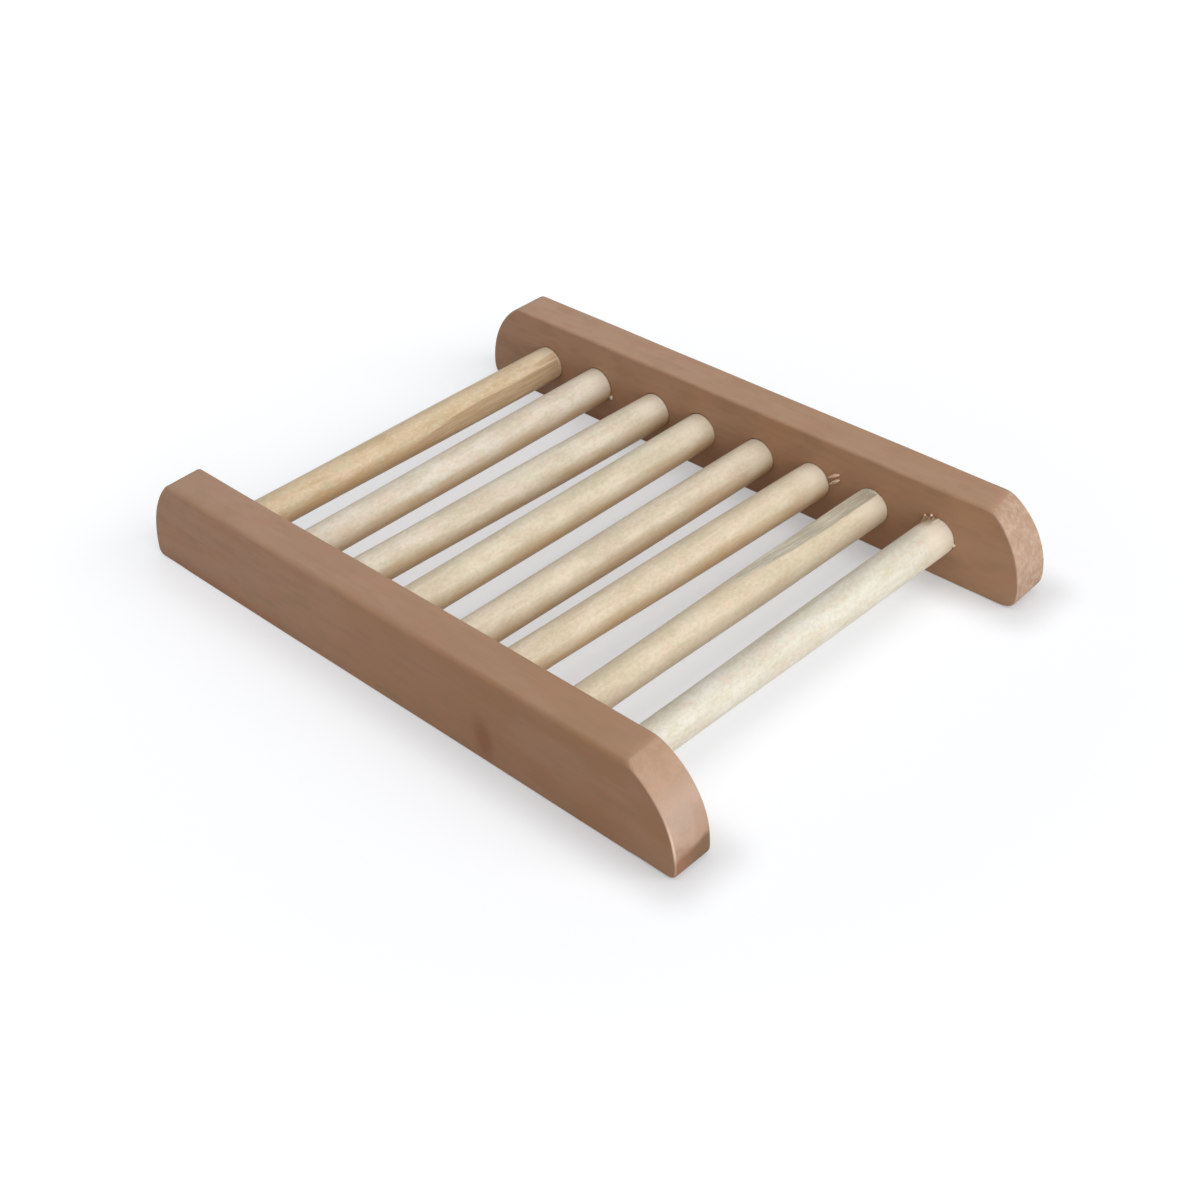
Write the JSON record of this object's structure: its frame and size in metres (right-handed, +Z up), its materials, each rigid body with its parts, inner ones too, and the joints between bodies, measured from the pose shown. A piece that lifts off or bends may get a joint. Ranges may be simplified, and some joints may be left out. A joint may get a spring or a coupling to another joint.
{
  "type": "soap dish",
  "caption": "Low ladder-shaped wooden soap dish: round pale dowels, set in blind bores between brown side rails with swept ends, hold the soap clear of the water.",
  "frame": {"origin": "on the surface that the dish stands on, below the middle of the dish", "axes": "+X along the two side rails, +Y from the front rail to the back rail along the dowels, +Z up"},
  "size_m": [0.12, 0.0868, 0.0165],
  "materials": {
    "rail_wood": "brown stained fine-grained wood, sanded, matt",
    "dowel_wood": "pale unfinished wood, sanded, matt"
  },
  "bodies": {
    "root": {"front_rail": "rail_wood", "back_rail": "rail_wood", "dowel_1": "dowel_wood", "dowel_2": "dowel_wood", "dowel_3": "dowel_wood", "dowel_4": "dowel_wood", "dowel_5": "dowel_wood", "dowel_6": "dowel_wood", "dowel_7": "dowel_wood", "dowel_8": "dowel_wood"}
  },
  "joints": []
}
